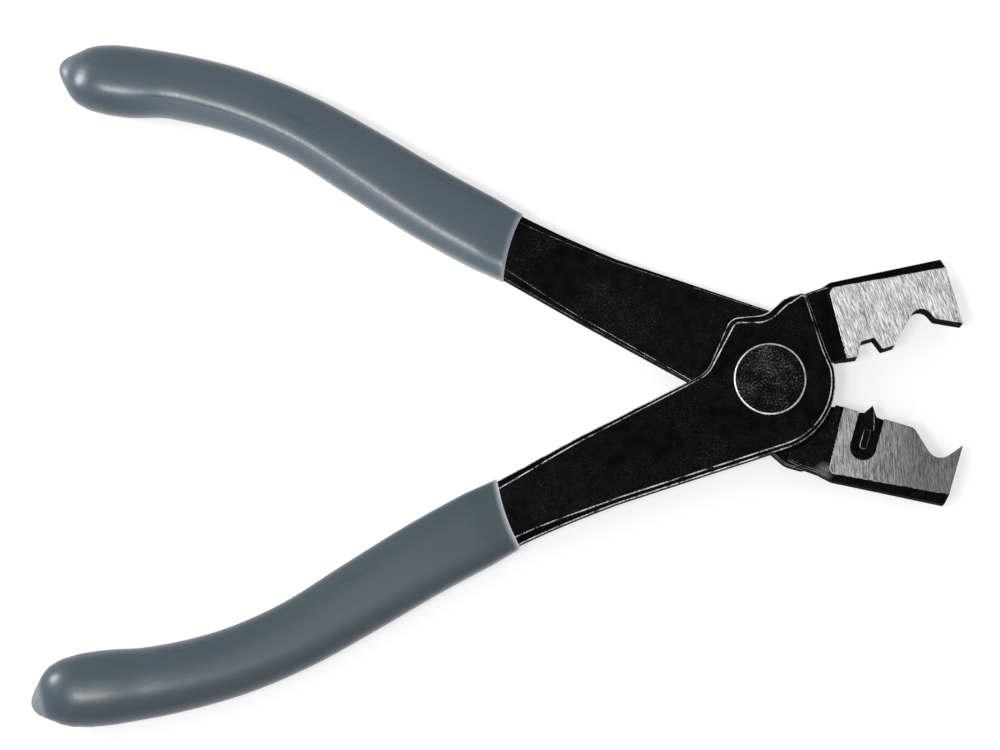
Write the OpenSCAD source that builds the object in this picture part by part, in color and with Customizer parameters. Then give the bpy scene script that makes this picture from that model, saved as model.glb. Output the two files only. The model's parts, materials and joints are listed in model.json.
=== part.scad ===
// Hose clamp pliers: two forged lap-joint levers on a rivet, with dipped grips and a toothed jaw.
// The pliers lie flat with the jaws towards +X. Z is the pivot axis, and the origin is on that axis
// at table level. A lever is drawn about the lap plane (z = 0), with its handle towards -X -Y and
// its jaw towards +X +Y. The rear lever is the same forging turned over about X, with its own mouth.

/* [Pivot] */
// Radius of the rivet's shank
shank_r = 4; // [3:0.1:5]
// Radius of the rivet's two heads
head_r = 6.5; // [5.5:0.1:7.5]
// Height of a rivet head above the hub
head_h = 0.5; // [0.3:0.1:1]
// Chamfer around a rivet head
head_chamfer = 0.3; // [0.1:0.05:0.3]
// Radial running clearance between shank and bores
bore_gap = 0.05; // [0.02:0.01:0.1]

/* [Hub] */
// Thickness of each lever's half of the lap joint
half_h = 4.3; // [4:0.1:5.5]
// Gap between faces that slide on each other
slide_gap = 0.1; // [0.06:0.02:0.2]
// Radius of the hub's round side
hub_r = 12.7; // [12.4:0.1:12.9]
// Radius of the hollow in each jaw that the other hub turns in
hollow_r = 13.4; // [13.4:0.1:13.8]
// Chamfer along the forging's edges
edge_chamfer = 0.9; // [0.5:0.1:1.2]

/* [Jaws] */
// Thickness of the ground jaws
jaw_h = 5.6; // [5.2:0.1:7]
// Thickness of the neck between hub and jaw
neck_h = 4.6; // [4:0.1:5]
// Depth of the forged bevel along a jaw's outer edge
jaw_bevel_depth = 1.1; // [0.6:0.1:1.4]

/* [Tooth] */
// Width of the slot that holds the tooth
slot_w = 4.7; // [4.2:0.1:5]
// Depth of the tooth below the ground faces
tooth_recess = 1; // [0.5:0.1:1.5]
// Width of the rib along the middle of the tooth
rib_w = 1.4; // [1:0.1:2]

/* [Handles] */
// Thickness of a handle bar inside its grip
bar_h = 6.2; // [5.8:0.1:6.6]
// Chamfer of the bar inside its grip
bar_chamfer = 1.5; // [1.2:0.1:1.8]
// Where a bar starts to crank towards the lap plane
crank_start = -30; // [-32:1:-29]
// Where the crank ends
crank_end = -50; // [-56:1:-48]

/* [Grips] */
// Where the grip's cuff is, along X
cuff_x = -46.5; // [-50:0.5:-44]
// Slope of the cuff against a square cut, in degrees
cuff_slope = 12.5; // [0:0.5:20]
// Roundness of a grip's section at its cuff: 2 is an ellipse, more is squarer
cuff_power = 3.6; // [3.2:0.1:4]
// Roundness of its section at the end
tip_power = 2.3; // [2:0.1:2.6]
// Length of a grip's rounded end
dome_l = 13; // [10:0.5:15]
// Where the front grip ends, along X
front_tip_x = -131.8; // [-134:0.2:-129]
// Where the rear grip ends
rear_tip_x = -128.7; // [-134:0.2:-127]
// How far the dip's edge thins out at the cuff
cuff_thinning = 0.3; // [0.1:0.05:0.35]

/* [Hidden] */
$fn = 96;

lap_z = head_h + half_h + slide_gap / 2;      // height of the lap plane above the table
lap_face = slide_gap / 2;                     // the front lever's face at the lap
hub_top = half_h;                             // its outer face
lap_chamfer = 0.25;                           // chamfer around the lap face
bore_r = shank_r + bore_gap;
arc_steps = 5;                                // chords in each rounded corner
fit = 0.03;                                   // play between seated pieces of one body

// Each handle's centre line, from hub to tip. The two dips differ a little:
// [x, y, half width of the bar, half width of the grip, half thickness of the grip]
front_handle = [
    [-10, -7.4, 8.5, 6.7, 3.9],
    [-18, -10.7, 7.8, 6.7, 3.9],
    [-30, -15.9, 6.9, 6.8, 3.9],
    [-45, -22.9, 6.0, 6.85, 3.9],
    [-60, -30.8, 5.85, 6.75, 3.95],
    [-73, -38.6, 5.5, 6.55, 4.0],
    [-84, -45.15, 5.2, 6.2, 4.1],
    [-95, -50.0, 5.0, 6.1, 4.3],
    [-106, -53.05, 5.0, 6.2, 4.6],
    [-116, -54.55, 5.3, 6.65, 4.83],
    [-125, -55.75, 5.3, 6.75, 4.83],
    [-134, -57.7, 5.3, 6.75, 4.83]
];
rear_handle = [
    [-10, -7.5, 8.4, 6.6, 3.9],
    [-18, -11.0, 7.6, 6.6, 3.9],
    [-30, -16.6, 6.6, 6.6, 3.9],
    [-45, -24.05, 5.8, 6.55, 3.9],
    [-60, -32.1, 5.7, 6.55, 3.95],
    [-73, -40.1, 5.3, 6.35, 4.0],
    [-84, -46.7, 5.0, 5.95, 4.1],
    [-95, -51.35, 4.9, 5.9, 4.3],
    [-106, -54.15, 4.9, 6.0, 4.6],
    [-116, -55.3, 5.2, 6.5, 4.83],
    [-125, -56.5, 5.2, 6.6, 4.83],
    [-134, -58.5, 5.2, 6.6, 4.83]
];
handle_steps = 5;        // stations in each span of a centre line
bar_start_x = -30;       // where the bar leaves the hub's half
bar_end_x = -119;
bar_step = 3;            // distance between the bar's stations
grip_step = 3.2;         // distance between the grip's stations
dome_steps = 7;          // stations in its rounded end

// Corners of the hub's half, [x, y, corner radius], from the neck round to the handle
hub_corners = [
    [10.2, 5.4, 5], [6.7, 16.0, 1.2], [2.9, 14.9, 3.5], [-0.7, 11.75, 4], [-6.9, 11.2, 2.6], [-11.3, 1.3, 5]
];
hub_centre = [-0.9, -0.2];

// Outline of the neck, from inside the hub to inside the jaw, without its edge along the mouth
neck_corners = [[15.2, 17], [12.5, 17.7], [9.4, 16.9], [5, 15.3], [3.5, 6]];
neck_edge_front = [[10.9, 3.3], [15.2, 4.6]];
neck_edge_rear = [[10.9, 4.5], [15.2, 5.8]];

// Edges of the ground jaw: along the neck and the outer side, then down the end to the tip
jaw_root = [13.9, 4.0, 0];
jaw_outer = [[10.8, 16.75, 1.2], [12.7, 17.13, 2], [31.9, 20.6, 0]];
jaw_forged = [[10.2, 17.25, 0.6], [11.1, 17.95, 1.5], [31.1, 22.2, 0]];
jaw_back_rear = 0.5;     // how much nearer the pivot the rear jaw's flat begins
tip_front = [34.9, 10.4, 0];
tip_rear = [34.5, 11.7, 0];

// Mouths, from the tip back past the neck
mouth_front = [
    [29.9, 11.25, 0.5], [27.1, 14.5, 2], [22.6, 6.45, 0.25], [20.4, 5.75, 0.25], [18.9, 7.8, 0.2],
    [16.45, 7.05, 0.2], [15.95, 4.35, 0.3], [12.6, 3.8, 0]
];
mouth_rear = [[29.75, 15.1, 2.6], [25.8, 8.55, 1.6], [12, 4.4, 0]];
jaw_blank_y = 1;         // how far down a jaw reaches before its mouth is cut
mouth_ends = [[11, -1, 0], [39, -1, 0]];

// The tooth's slot lies along its own axes, square to the rear jaw's flat
slot_turn = 16;          // in degrees
slot_x = 19.3;
slot_bottom = 9.4;
slot_mouth = 0.4;
slot_clear = 2;          // how far the slot is cut past its mouth
// The tooth's point, from its left root over the tip to its right root, on the slot's axes
tooth_point = [[-2.32, 1.0], [-1.3, 0.7], [-0.25, -0.95], [1.0, 0.9], [2.32, 1.05]];
rib_span = [3.6, 7.3];

function unit(v) = v / norm(v);
function flat(p) = [p[0], p[1]];
function wrap(a) = a > 180 ? a - 360 : a < -180 ? a + 360 : a;

// Points of one corner b between its neighbours a and c: an arc, or the corner itself
function corner(a, b, c) =
    b[2] == 0 ? [flat(b)] :
    let (
        u = unit(flat(a) - flat(b)),
        v = unit(flat(c) - flat(b)),
        half = acos(u * v) / 2,
        middle = flat(b) + unit(u + v) * b[2] / sin(half),
        first = flat(b) + u * b[2] / tan(half) - middle,
        last = flat(b) + v * b[2] / tan(half) - middle,
        start = atan2(first[1], first[0]),
        turn = wrap(atan2(last[1], last[0]) - start)
    )
    [for (i = [0:arc_steps])
        let (a = start + turn * i / arc_steps)
        middle + b[2] * [cos(a), sin(a)]];

// A closed outline with its corners rounded
function rounded(pts) =
    let (n = len(pts))
    [for (i = [0:n - 1]) each corner(pts[(i + n - 1) % n], pts[i], pts[(i + 1) % n])];

function arc(centre, r, from, to, steps) =
    [for (i = [0:steps])
        let (a = from + (to - from) * i / steps)
        centre + r * [cos(a), sin(a)]];

function signed_area(pts) =
    let (n = len(pts))
    [for (i = [0:n - 1]) cross(pts[i], pts[(i + 1) % n])] * [for (i = [0:n - 1]) 0.5];

// The outline turned anticlockwise
function anticlockwise(pts) = signed_area(pts) > 0 ? pts : [for (i = [len(pts) - 1:-1:0]) pts[i]];

// An anticlockwise line of points moved to its left by d, and each end by d along the way given
function inset(pts, d, first_way, last_way) =
    let (n = len(pts))
    [for (i = [0:n - 1])
        i == 0 ? pts[i] + d * first_way :
        i == n - 1 ? pts[i] + d * last_way :
        let (
            u = unit(pts[i] - pts[i - 1]),
            v = unit(pts[i + 1] - pts[i]),
            inward = unit([-u[1] - v[1], u[0] + v[0]])
        )
        pts[i] + inward * d / max(0.5, inward * [-u[1], u[0]])];

function at_height(pts, z) = [for (p = pts) [p[0], p[1], z]];

// A point on a smooth curve through p1 and p2, with neighbours p0 and p3
function curve(p0, p1, p2, p3, t) =
    0.5 * (2 * p1 + (p2 - p0) * t + (2 * p0 - 5 * p1 + 4 * p2 - p3) * t * t
        + (3 * p1 - p0 - 3 * p2 + p3) * t * t * t);

function smooth(points, steps) =
    let (n = len(points), before = 2 * points[0] - points[1], after = 2 * points[n - 1] - points[n - 2])
    [for (i = [0:n - 2], j = [0:steps - (i < n - 2 ? 1 : 0)])
        curve(i == 0 ? before : points[i - 1], points[i], points[i + 1],
            i == n - 2 ? after : points[i + 2], j / steps)];

function ease(t) = let (c = min(1, max(0, t))) c * c * (3 - 2 * c);

// A handle's values at x, on its smooth centre line
function handle_at(line, x) =
    [x, for (k = [1:4]) lookup(-x, [for (p = line) [-p[0], p[k]]])];

// The way across a handle at x, towards its outer edge
function across(line, x) =
    let (along = unit(flat(handle_at(line, x - 0.5)) - flat(handle_at(line, x + 0.5))))
    [-along[1], along[0]];

// A ring of section points [across, up, along] on a handle at x
function ring(line, x, section) =
    let (side = across(line, x), along = [side[1], -side[0]], middle = flat(handle_at(line, x)))
    [for (p = section)
        let (q = middle + side * p[0] + along * p[2])
        [q[0], q[1], p[1]]];

// Section of the bar: a rectangle between two heights with its corners cut off
function bar_section(w, low, high, c_low, c_high) = [
    [w, low + c_low, 0], [w, high - c_high, 0], [w - c_high, high, 0], [c_high - w, high, 0],
    [-w, high - c_high, 0], [-w, low + c_low, 0], [c_low - w, low, 0], [w - c_low, low, 0]
];

// Section of the grip: a rounded oval, sloped along the handle near the cuff
function grip_section(w, h, power, slope) =
    [for (i = [0:21])
        let (
            a = 360 * (i + 0.5) / 22,
            x = w * sign(cos(a)) * pow(abs(cos(a)), 2 / power),
            z = h * sign(sin(a)) * pow(abs(sin(a)), 2 / power)
        )
        [x, z, slope * x]];

// Faces between m rings of n points each, from point number start on
function ring_sides(n, m, start) =
    [for (j = [0:m - 2], i = [0:n - 1])
        let (k = (i + 1) % n, a = start + j * n + i, b = start + j * n + k)
        each [[a, a + n, b + n], [a, b + n, b]]];

// A closed solid through rings of equal length, each anticlockwise seen from the last one
module loft(rings) {
    n = len(rings[0]);
    m = len(rings);
    first_cap = [for (i = [0:n - 1]) i];
    last_cap = [for (i = [n - 1:-1:0]) (m - 1) * n + i];
    faces = concat([first_cap], ring_sides(n, m, 0), [last_cap]);
    polyhedron([for (r = rings) each r], faces, convexity = 8);
}

front_line = smooth(front_handle, handle_steps);
rear_line = smooth(rear_handle, handle_steps);

// The bar's ring at x, in its own half at the hub and cranked to the lap plane at the grip
function bar_ring(line, x, extra) =
    let (
        t = ease((x - crank_start) / (crank_end - crank_start)),
        low = lap_face * (1 - t) - bar_h / 2 * t,
        high = hub_top * (1 - t) + bar_h / 2 * t,
        c_low = lap_chamfer * (1 - t) + bar_chamfer * t,
        c_high = edge_chamfer * (1 - t) + bar_chamfer * t
    )
    ring(line, x, bar_section(handle_at(line, x)[2] + extra, low - extra, high + extra, c_low, c_high));

// The bar's rings from its station number first on
function bar_rings(line, first, extra) =
    let (last = floor((bar_start_x - bar_end_x) / bar_step))
    [for (i = [first:last])
        bar_ring(line, bar_start_x - i * bar_step - (i == last ? extra : 0), extra)];

// One lever's half of the lap joint and its handle bar, as one closed solid. The hub's half is
// four copies of its outline above each other, open where the bar's first ring continues it.
module hub_and_bar(line) {
    side = across(line, bar_start_x);
    middle = flat(handle_at(line, bar_start_x));
    w = handle_at(line, bar_start_x)[2];
    outer = middle + w * side;
    inner = middle - w * side;
    corners = concat([[12, 2, 0]], hub_corners, [[inner[0], inner[1], 0]]);
    top = rounded(corners);
    round_side = arc(hub_centre, hub_r, -72, 10, 16);
    outline = concat([outer], round_side, [for (i = [1:len(top) - 1]) top[i]]);
    n = len(outline);
    lap_edge = inset(outline, lap_chamfer, -side, side);
    top_edge = inset(outline, edge_chamfer, -side, side);
    hub = concat(
        at_height(lap_edge, lap_face), at_height(outline, lap_face + lap_chamfer),
        at_height(outline, hub_top - edge_chamfer), at_height(top_edge, hub_top)
    );
    bar = bar_rings(line, 1, 0);
    m = len(bar);
    // The bar's first section in points of the hub
    seam = [n, 2 * n, 3 * n, 4 * n - 1, 3 * n - 1, 2 * n - 1, n - 1, 0];
    hub_sides = [for (j = [0:2], i = [0:n - 2])
        let (a = j * n + i)
        each [[a, a + n, a + n + 1], [a, a + n + 1, a + 1]]];
    seam_sides = [for (i = [0:7])
        let (k = (i + 1) % 8)
        each [[seam[i], 4 * n + i, 4 * n + k], [seam[i], 4 * n + k, seam[k]]]];
    // Both faces start at the round side's first point, which sees every other point
    lap_cap = [for (i = [0:n - 1]) (i + 1) % n];
    top_cap = [for (i = [0:n - 1]) 3 * n + (n + 1 - i) % n];
    end_cap = [for (i = [7:-1:0]) 4 * n + 8 * (m - 1) + i];
    polyhedron(
        concat(hub, [for (r = bar) each r]),
        concat([lap_cap, top_cap, end_cap], hub_sides, seam_sides, ring_sides(8, m, 4 * n)),
        convexity = 8
    );
}

// The point at height y on the line through a and b
function past(a, b, y) =
    let (p = flat(a) + (flat(b) - flat(a)) * (y - a[1]) / (b[1] - a[1]))
    [p[0], p[1], 0];

// A jaw's outline before its mouth is cut, with an outer side given
function blank(side, tip, back) =
    let (shift = [back, 0, 0], last = len(side) - 1)
    anticlockwise(rounded(concat(
        [past(side[0] - shift, jaw_root - shift, jaw_blank_y), side[0] - shift],
        [for (i = [1:last]) side[i]],
        [past(side[last], tip, jaw_blank_y)]
    )));

// A ground jaw: full thickness, with the forged bevel along its outer side
module jaw(tip, mouth, back) {
    ground = blank(jaw_outer, tip, back);
    forged = blank(jaw_forged, tip, back);
    edge = jaw_h / 2 - jaw_bevel_depth;
    difference() {
        loft([at_height(ground, -jaw_h / 2), at_height(forged, -edge), at_height(forged, edge),
            at_height(ground, jaw_h / 2)]);
        translate([0, 0, -jaw_h])
        linear_extrude(2 * jaw_h)
        polygon(rounded(concat([past(mouth[0], tip, tip[1] - 0.5)], mouth, mouth_ends)));
    }
}

// The room that the other lever's hub and handle need below the lap plane
module other_hub_room() {
    reach = jaw_h;
    translate([0, 0, lap_face - reach])
    linear_extrude(reach)
    polygon(concat(
        arc([-0.85, 0.2], hollow_r, -50, 72, 40),
        [[-24, 22], [-24, -10]]
    ));
}

module lever(line, tip, mouth, neck_edge, back) {
    difference() {
        union() {
            hub_and_bar(line);
            difference() {
                union() {
                    translate([0, 0, -neck_h / 2])
                    linear_extrude(neck_h)
                    polygon(concat(neck_edge, neck_corners));
                    jaw(tip, mouth, back);
                }
                other_hub_room();
            }
        }
        translate([0, 0, -half_h])
        cylinder(h = 3 * half_h, r = bore_r);
    }
}

// The tooth's slot or, with play taken off, the tooth's own seat
module slot_outline(play, top) {
    r = slot_w / 2 - play;
    polygon(concat(
        arc([slot_x, slot_bottom - slot_w / 2], r, 0, 180, 16),
        top
    ));
}

module front_lever() {
    color("#1a1a1c")
    translate([0, 0, lap_z])
    lever(front_line, tip_front, mouth_front, neck_edge_front, 0);
}

module rear_lever() {
    color("#202022")
    translate([0, 0, lap_z])
    rotate([180, 0, 0])
    difference() {
        lever(rear_line, tip_rear, mouth_rear, neck_edge_rear, jaw_back_rear);
        rotate(slot_turn)
        translate([0, 0, -jaw_h])
        linear_extrude(2 * jaw_h)
        slot_outline(0, [for (side = [-1, 1]) [slot_x + side * slot_w / 2, slot_mouth - slot_clear]]);
    }
}

module tooth_insert() {
    half = jaw_h / 2 - tooth_recess;
    rib_half = half + tooth_recess / 2;
    color("#2a2a2c")
    translate([0, 0, lap_z])
    rotate([180, 0, 0])
    rotate(slot_turn) {
        translate([0, 0, -half])
        linear_extrude(2 * half)
        slot_outline(fit, [for (p = tooth_point) [slot_x + p[0], p[1]]]);
        translate([slot_x - rib_w / 2, rib_span[0], -rib_half])
        cube([rib_w, rib_span[1] - rib_span[0], 2 * rib_half]);
    }
}

module pivot_rivet() {
    profile = [
        [0, 0], [head_r - head_chamfer, 0], [head_r, head_chamfer], [head_r, head_h - slide_gap / 2],
        [shank_r, head_h - slide_gap / 2], [shank_r, lap_z + hub_top],
        [head_r, lap_z + hub_top], [head_r, lap_z + hub_top + head_h - head_chamfer],
        [head_r - head_chamfer, lap_z + hub_top + head_h], [0, lap_z + hub_top + head_h]
    ];
    color("#555558")
    rotate_extrude()
    polygon(profile);
}

// A dipped sleeve: closed over the handle's end, with its cuff sloped as the dip left it
module grip(line, tip_x) {
    straight = cuff_x - tip_x - dome_l;
    steps = ceil(straight / grip_step);
    places = concat(
        [for (i = [0:steps]) cuff_x - straight * i / steps],
        [for (i = [1:dome_steps]) tip_x + dome_l * (1 - sin(90 * i / dome_steps))]
    );
    difference() {
        loft([for (x = places)
            let (
                p = handle_at(line, x),
                to_tip = min(1, max(0.002, (x - tip_x) / dome_l)),
                dome = pow(1 - pow(1 - to_tip, 2.6), 0.55),
                from_cuff = cuff_x - x,
                thinning = cuff_thinning * (1 - ease(from_cuff / 6)),
                slope = tan(cuff_slope) * (1 - ease(from_cuff / 25)),
                power = cuff_power + (tip_power - cuff_power) * ease(from_cuff / 60)
            )
            ring(line, x, grip_section((p[3] - thinning) * dome, (p[4] - thinning) * dome, power, slope))]);
        loft(bar_rings(line, 3, fit));
    }
}

module front_grip() {
    color("#55636f")
    translate([0, 0, lap_z])
    grip(front_line, front_tip_x);
}

module rear_grip() {
    color("#4f5d68")
    translate([0, 0, lap_z])
    rotate([180, 0, 0])
    grip(rear_line, rear_tip_x);
}

front_lever();
rear_lever();
pivot_rivet();
tooth_insert();
front_grip();
rear_grip();
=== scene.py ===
"""Looks of the hose clamp pliers: worn forged levers with ground jaws, rivet, tooth and dipped grips."""
import json
import math

import bmesh
import bpy
import numpy as np
from mathutils import Matrix, Vector


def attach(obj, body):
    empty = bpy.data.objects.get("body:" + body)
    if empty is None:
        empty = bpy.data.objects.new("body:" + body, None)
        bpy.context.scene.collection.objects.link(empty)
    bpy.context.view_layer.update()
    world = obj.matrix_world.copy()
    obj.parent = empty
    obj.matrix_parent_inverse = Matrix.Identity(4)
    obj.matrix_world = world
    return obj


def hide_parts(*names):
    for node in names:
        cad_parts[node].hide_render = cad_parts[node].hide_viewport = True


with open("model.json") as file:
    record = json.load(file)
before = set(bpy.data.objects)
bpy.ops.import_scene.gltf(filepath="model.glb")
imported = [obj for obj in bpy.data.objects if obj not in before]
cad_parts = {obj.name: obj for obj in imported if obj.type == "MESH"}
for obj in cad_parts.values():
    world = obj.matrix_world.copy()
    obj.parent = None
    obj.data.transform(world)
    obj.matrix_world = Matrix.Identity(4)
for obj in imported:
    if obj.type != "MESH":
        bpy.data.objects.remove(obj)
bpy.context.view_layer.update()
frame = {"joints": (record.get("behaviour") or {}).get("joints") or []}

MM = 0.001
LAP_Z = frame["joints"][0]["pos_m"][2] / MM      # height of the lap plane, mm

# ---------------------------------------------------------------- sizes, in mm, as in the CAD model
# A lever is drawn about the lap plane, with its handle towards -X -Y. The rear one is then turned over.
LAP_FACE = 0.05             # height of the face that slides on the other lever
HUB_TOP = 4.3               # height of the hub's outer face
EDGE_DEPTH = 0.9            # depth of the chamfer along a forged edge
LAP_CHAMFER = 0.25          # chamfer around the lap face
LAP_CHAMFER_BAR = 0.7       # the same where the bar begins
WORN = 0.16                 # width of the worn strip along a forged edge
FINE_WORN = 0.05            # width of that strip along a small edge
JAW_HALF = 2.8
JAW_EDGE = 1.7              # height at which the ground jaw's bevel meets its forged wall
GROUND_LIP = 0.1            # width of the fine edge around a ground face
NECK_HALF = 2.3
NECK_CHAMFER = 0.35
BAR_HALF = 3.1
BAR_CHAMFER = 1.5
BAR_STEP = 1.0              # distance between the bar's sections
CRANK = (-30.0, -50.0)      # where a bar leaves its lap half, and where it has reached the middle
BAR_ENDS = (-30.0, -119.0)
PLAY = 0.03                 # between a seated piece and what holds it
HEAD_R = 6.5
HEAD_H = 0.5
SHANK_R = 4.0
BORE_R = 4.05
HUB_CENTRE = (-0.9, -0.2)
HUB_R = 12.7
HUB_ARC = (-72, 10)         # where its round side begins and ends, in degrees
HOLLOW_CENTRE = (-0.85, 0.2)
HOLLOW_R = 13.4
HOLLOW_ARC = (-50, 72)
HOLLOW_BACK = ((-24, 22), (-24, -10))   # corners of the room behind the hollow
CUT = (-9, 9)               # heights past every face, for what is cut right through a jaw
HUB_CUT = (-6, 9)           # the same for a hub

# A handle's centre line: x, y, half width of the bar, half width of the grip, half thickness of the grip
FRONT_HANDLE = (
    (-10, -7.4, 8.5, 6.7, 3.9), (-18, -10.7, 7.8, 6.7, 3.9), (-30, -15.9, 6.9, 6.8, 3.9),
    (-45, -22.9, 6.0, 6.85, 3.9), (-60, -30.8, 5.85, 6.75, 3.95), (-73, -38.6, 5.5, 6.55, 4.0),
    (-84, -45.15, 5.2, 6.2, 4.1), (-95, -50.0, 5.0, 6.1, 4.3), (-106, -53.05, 5.0, 6.2, 4.6),
    (-116, -54.55, 5.3, 6.65, 4.83), (-125, -55.75, 5.3, 6.75, 4.83), (-134, -57.7, 5.3, 6.75, 4.83),
)
REAR_HANDLE = (
    (-10, -7.5, 8.4, 6.6, 3.9), (-18, -11.0, 7.6, 6.6, 3.9), (-30, -16.6, 6.6, 6.6, 3.9),
    (-45, -24.05, 5.8, 6.55, 3.9), (-60, -32.1, 5.7, 6.55, 3.95), (-73, -40.1, 5.3, 6.35, 4.0),
    (-84, -46.7, 5.0, 5.95, 4.1), (-95, -51.35, 4.9, 5.9, 4.3), (-106, -54.15, 4.9, 6.0, 4.6),
    (-116, -55.3, 5.2, 6.5, 4.83), (-125, -56.5, 5.2, 6.6, 4.83), (-134, -58.5, 5.2, 6.6, 4.83),
)
HANDLE_STEPS = 12           # parts in each span of a centre line
# The hub's corners: x, y, corner radius, width of the outer face's chamfer
HUB_CORNERS = (
    (12, 2, 0, 0.9), (10.2, 5.4, 5, 0.8), (6.7, 16, 1.2, 0.6), (2.9, 14.9, 3.5, 1.3),
    (-0.7, 11.75, 4, 1.4), (-6.9, 11.2, 2.6, 1.1), (-11.3, 1.3, 5, 0.6),
)
HUB_ROUND_CHAMFER = 0.8
NECK = ((15.2, 17), (12.5, 17.7), (9.4, 16.9), (5, 15.3), (3.1, 14.3), (3.3, 12))
NECK_EDGES = {"front": ((10.9, 2.6), (15.2, 3.6)), "rear": ((10.9, 3.6), (15.2, 4.6))}
# Edges of a jaw, x, y, corner radius: those of the ground flat, and those of the forging around it
JAW_ROOT = (13.9, 4.0)
JAW_SIDE = ((10.8, 16.75, 1.2), (12.7, 17.13, 2), (31.9, 20.6, 0))
JAW_FORGED = ((10.2, 17.25, 0.6), (11.1, 17.95, 1.5), (31.1, 22.2, 0))
JAW_BACK = {"front": 0.0, "rear": 0.5}   # how much nearer the pivot the rear jaw's flat begins
ROOT_SLOPE = 0.9            # how far the flat's side leans out, down to the forged edge
ROOT_DROP = 0.55            # how far its corner comes down for each mm of that
JAW_BLANK_Y = 1.0           # how far down a jaw reaches before its mouth is cut
TIPS = {"front": (34.9, 10.4), "rear": (34.5, 11.7)}
# Mouths, x, y, corner radius, from the tip back past the neck, and the corners that close what is cut away
MOUTHS = {
    "front": ((29.9, 11.25, 0.5), (27.1, 14.5, 2), (22.6, 6.45, 0.25), (20.4, 5.75, 0.25),
              (18.9, 7.8, 0.2), (16.45, 7.05, 0.2), (15.95, 4.35, 0.3), (12.6, 3.8, 0), (10.5, 3.3, 0)),
    "rear": ((29.75, 15.1, 2.6), (25.8, 8.55, 1.6), (12, 4.4, 0), (10.5, 4.3, 0)),
}
MOUTH_PAST = 0.5            # how far the cut goes past the tip
MOUTH_ENDS = ((9.5, -1, 0), (39, -1, 0))
# The tooth and its slot lie along axes of their own, at this angle to the lever's
SLOT_TURN = math.radians(16)
SLOT_X = 19.3
SLOT_BOTTOM = 9.4
SLOT_W = 4.7
SLOT_MOUTH = -1.6
TOOTH_POINT = ((2.32, 1.05), (1.0, 0.9), (-0.25, -0.95), (-1.3, 0.7), (-2.32, 1.0))
TOOTH_RECESS = 1.0          # how far its faces lie below the ground ones
TOOTH_CHAMFER = 0.3
TOOTH_SQUARE = 1.4          # below this, around its point, the chamfer narrows to TOOTH_SHARP of that
TOOTH_SHARP = 0.3
RIB_SPAN = (3.6, 7.3)
RIB_HALF = 0.7
RIB_HEIGHT = 0.5
RIB_CORNERS = (0.12, 0.55)  # radii at its two ends
RIB_CHAMFER = 0.14
RIDGE = ((0.16, 0.0), (0.28, 0.0), (0.92, 2.2), (1.12, 3.4), (0.98, 3.4), (0.78, 2.2))
RIDGE_HEIGHT = 0.06
TOOTH_WORN = 0.07
RIB_WORN = 0.06

# ---------------------------------------------------------------- sizes of the grips, in mm
# tip and cuff are places along X, slope is the cuff edge's in degrees, the rim figure is how strong the
# painted highlight along the cuff's rim is, the drip figure how pale the drip is, its own paler tone with
# painted light on it, and fold is where a fold along the inner side ends, short of the tip.
GRIPS = {
    "front": {"tip": -131.8, "cuff": -47.0, "slope": 8.3, "rim_highlight": 1.0, "drip": 0.15, "fold": None},
    "rear": {"tip": -128.7, "cuff": -46.1, "slope": 10.7, "rim_highlight": 0.55, "drip": 0.08, "fold": -119},
}
SECTION = 64                # points in a section
SLEEVE_PAST = 0.2           # how far the hole goes past the bar's end
SLEEVE_STEP = 3.0           # distance between the hole's sections
SLEEVE_LAST = 0.4           # its last section's distance from the cuff
LIP_BULGE = 0.22
LIP_SHARES = (0.0, 0.12, 0.3, 0.5, 0.7, 0.88, 1.0)      # across the lip, from the bar to the skin
SKIN_STARTS = (0.35, 0.8, 1.4, 2.2, 3.2)                # the skin's first sections, from the cuff
SKIN_STEP = 1.0
CUFF_DIP = 0.6              # how far the cuff's edge curves towards the grip
CUFF_THIN = 0.3             # how much thinner the dip is at its edge
THIN_FADE = 6               # distances from the cuff over which its thinness, curve and slope fade
DIP_FADE = 9
SLOPE_FADE = 25
CUFF_POWER = 3.6            # roundness of the section at the cuff: 2 is an ellipse, more is squarer
ROUNDER = ((0.85, 0, 35), (0.4, 30, 35))    # how much it drops, from what distance and over what length
DOME = 13.0                 # length of the rounded end
DOME_STEPS = 26
TIP_FLAT = 0.02             # distance of the last section from the tip
DRIP_SHIFT = 0.8            # how far towards the outer side the drip hangs
DRIP_LENGTH = 0.3           # share of the dome's length over which it does
DRIP_TONE_AND_LIGHT = (0.13, 0.07)    # share of the dome at which the drip's pale tone and painted light start to fade, and over what share
RIM_HIGHLIGHT_REACH = 0.35            # distance from the cuff that the rim's painted highlight reaches
RIM_HIGHLIGHT_SHARE = 0.35            # how much of it shows on the skin
WAIST = (19.5, 3.2, 0.22)   # the inner side's dent behind the dome: from the tip, its reach and its depth
WAIST_FLAT = 0.09           # share of the thickness lost for each mm of that depth
FOLD_START = 0.40           # share of the half width at which the fold begins
FOLD_WIDTH = 0.42
FOLD_POWER = 2.6
FOLD_DROP = 0.02            # share of the thickness that is lost past it
FOLD_FADE = 14

# A blunt dome with a drip: share of its length from its end, and share of the full width or thickness
DOME_WIDTH = (
    (0, 0.02), (0.015, 0.14), (0.04, 0.235), (0.085, 0.35), (0.15, 0.475),
    (0.225, 0.62), (0.34, 0.785), (0.5, 0.905), (0.75, 0.98), (1, 1),
)
DOME_HEIGHT = (
    (0, 0.02), (0.015, 0.13), (0.04, 0.2), (0.085, 0.275), (0.15, 0.37), (0.2, 0.49), (0.25, 0.62),
    (0.34, 0.775), (0.42, 0.868), (0.5, 0.93), (0.6, 0.972), (0.7, 0.99), (1, 1),
)


# ---------------------------------------------------------------- outlines
def unit(v):
    v = np.asarray(v, float)
    return v / np.linalg.norm(v)


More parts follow.
